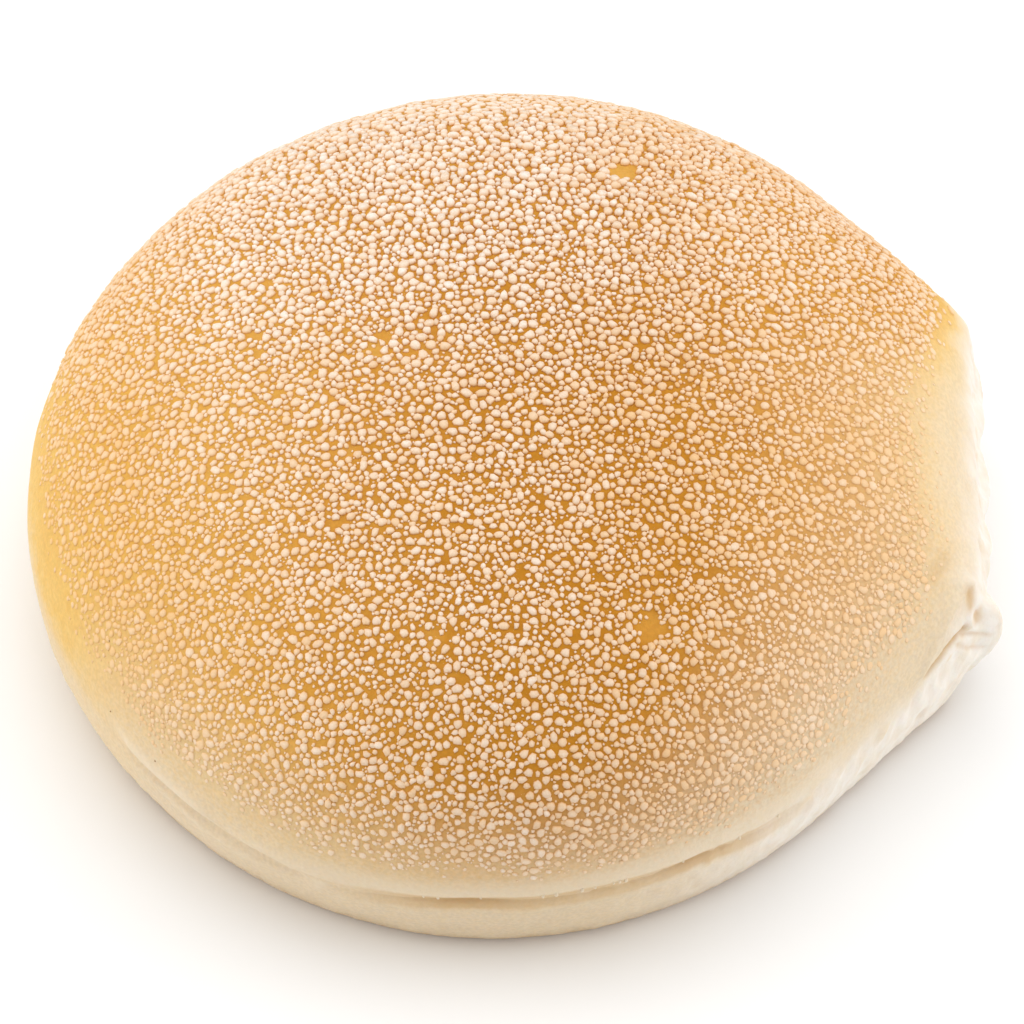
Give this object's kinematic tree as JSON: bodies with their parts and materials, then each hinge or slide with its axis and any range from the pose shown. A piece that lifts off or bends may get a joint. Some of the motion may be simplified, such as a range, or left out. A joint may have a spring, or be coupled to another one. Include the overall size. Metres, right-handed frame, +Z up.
{
  "type": "morning roll",
  "caption": "Soft round bread roll with a domed, flour-dusted crust, a crease round its side and a torn side where it was pulled from the batch.",
  "frame": {"origin": "on the flat underside, below the middle of the round dome", "axes": "+Z up, -Y towards the pictured front, +X towards the torn side"},
  "size_m": [0.1102, 0.1088, 0.0434],
  "materials": {
    "floured_crust": "golden baked crust under coarse white flour grains, pale sides, dry and matte"
  },
  "bodies": {
    "root": {"roll": "floured_crust"}
  },
  "joints": []
}
